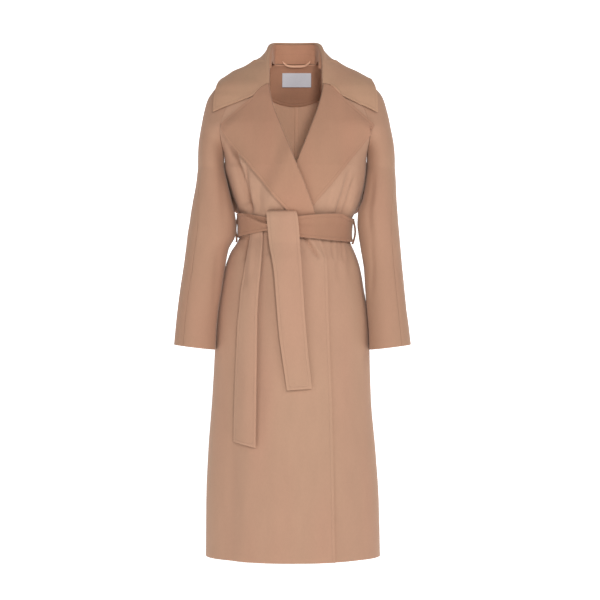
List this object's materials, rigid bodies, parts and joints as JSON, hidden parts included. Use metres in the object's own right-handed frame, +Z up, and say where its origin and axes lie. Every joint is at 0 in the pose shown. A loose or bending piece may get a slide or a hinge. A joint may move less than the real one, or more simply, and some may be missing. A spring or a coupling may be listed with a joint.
{
  "type": "belted wrap coat",
  "caption": "Long wool wrap coat, hollow and filled out with no wearer: raglan sleeves, folded collar with wide notched lapels and a tie belt knotted at the waist.",
  "frame": {"origin": "between the shoulders at the base of the neck, in the middle of the neck opening, where the wearer's neck and shoulders hold the coat up", "axes": "+Z up towards the collar, -Y the front that laps over, +X the wearer's left"},
  "size_m": [0.5628, 0.2799, 1.2404],
  "materials": {
    "wool": "brushed double-faced wool, soft short nap, low sheen",
    "wool_inside": "the same wool seen in the shade inside the neck",
    "label_tape": "smooth woven tape, blank"
  },
  "bodies": {
    "root": {"front_right": "wool", "front_left": "wool", "back_right": "wool", "back_left": "wool", "sleeve_right_front": "wool", "sleeve_right_back": "wool", "sleeve_left_front": "wool", "sleeve_left_back": "wool", "collar_stand": "wool", "collar_fall": "wool", "lapel_right": "wool", "lapel_left": "wool", "back_neck_facing": "wool_inside", "label": "label_tape", "hanger_loop": "wool", "belt_band": "wool", "belt_knot": "wool", "belt_end_front": "wool", "belt_end_side": "wool", "belt_loop_right": "wool", "belt_loop_left": "wool"}
  },
  "joints": []
}
